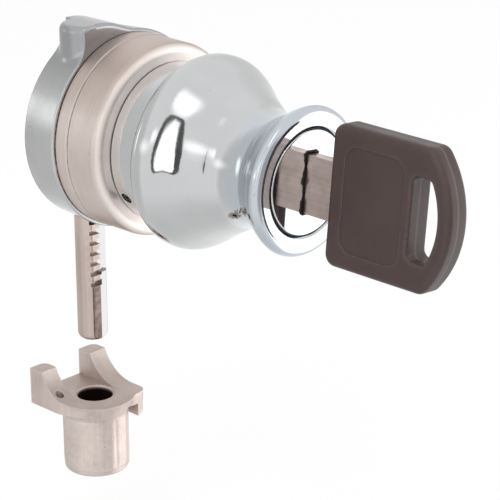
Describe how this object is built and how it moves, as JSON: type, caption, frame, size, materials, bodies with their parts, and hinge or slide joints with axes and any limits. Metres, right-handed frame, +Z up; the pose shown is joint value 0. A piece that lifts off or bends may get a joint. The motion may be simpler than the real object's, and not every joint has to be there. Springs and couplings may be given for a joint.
{
  "type": "plunger lock",
  "caption": "Knob-operated plunger lock: turning the round knob winds a toothed pin up or down through a rack, a key locks the knob, and a separate strike receives the pin.",
  "frame": {"origin": "centre of the mounting face, on the knob's axis", "axes": "+Y out of the back, into the door; -Y along the knob's axis to its front; +Z up; the plunger moves along Z"},
  "size_m": [0.0322, 0.0776, 0.0761],
  "materials": {
    "chrome": "polished",
    "nickel": "satin nickel plate",
    "steel": "plain",
    "brass": "machined",
    "nylon": "matte",
    "key_plastic": "semi-gloss"
  },
  "bodies": {
    "body": {"rear_housing": "chrome", "spacer_ring": "nickel", "front_drum": "nickel", "body_screws": "steel", "stop_pin": "steel", "thrust_washer": "nylon", "bow_washer": "steel"},
    "knob_body": {"knob": "chrome", "stud_wheel": "steel", "wheel_screws": "steel", "grub_screw": "steel", "cylinder_shell": "nickel"},
    "plug_body": {"cylinder_plug": "brass", "face_cap": "chrome", "plug_clip": "steel", "wafer_1": "brass", "wafer_2": "brass", "wafer_3": "brass", "wafer_4": "brass", "wafer_5": "brass", "wafer_springs": "steel", "tail_cam": "steel", "cam_screw": "steel"},
    "dog_body": {"locking_dog": "steel", "dog_spring": "steel"},
    "plunger_body": {"plunger": "nickel"},
    "key_body": {"key_blade": "nickel", "key_head": "key_plastic"},
    "strike_body": {"strike": "nickel"}
  },
  "joints": [
    {"name": "knob_turn", "type": "hinge", "parent": "body", "child": "knob_body", "pos_m": [0, 0, 0], "axis": [0, 1, 0], "range_deg": [0, 150]},
    {"name": "plunger_slide", "type": "slide", "parent": "body", "child": "plunger_body", "axis": [0, 0, 1], "range_m": [0, 0.01625]},
    {"name": "plug_turn", "type": "hinge", "parent": "knob_body", "child": "plug_body", "pos_m": [0, 0, 0], "axis": [0, 1, 0], "range_deg": [0, 90]},
    {"name": "dog_slide", "type": "slide", "parent": "knob_body", "child": "dog_body", "axis": [0, 0, 1], "range_m": [0, 0.00181], "deforming": ["dog_spring"]},
    {"name": "key_slide", "type": "slide", "parent": "plug_body", "child": "key_body", "axis": [0, -1, 0], "range_m": [0, 0.026]},
    {"name": "strike_slide", "type": "slide", "parent": "body", "child": "strike_body", "axis": [0, 0, 1], "range_m": [0, 0.014]}
  ],
  "couplings": [
    {"joint": "plunger_slide", "follows": "knob_turn", "m_per_rad": 0.0062},
    {"joint": "dog_slide", "follows": "plug_turn", "m_per_rad": 0.0011459}
  ]
}
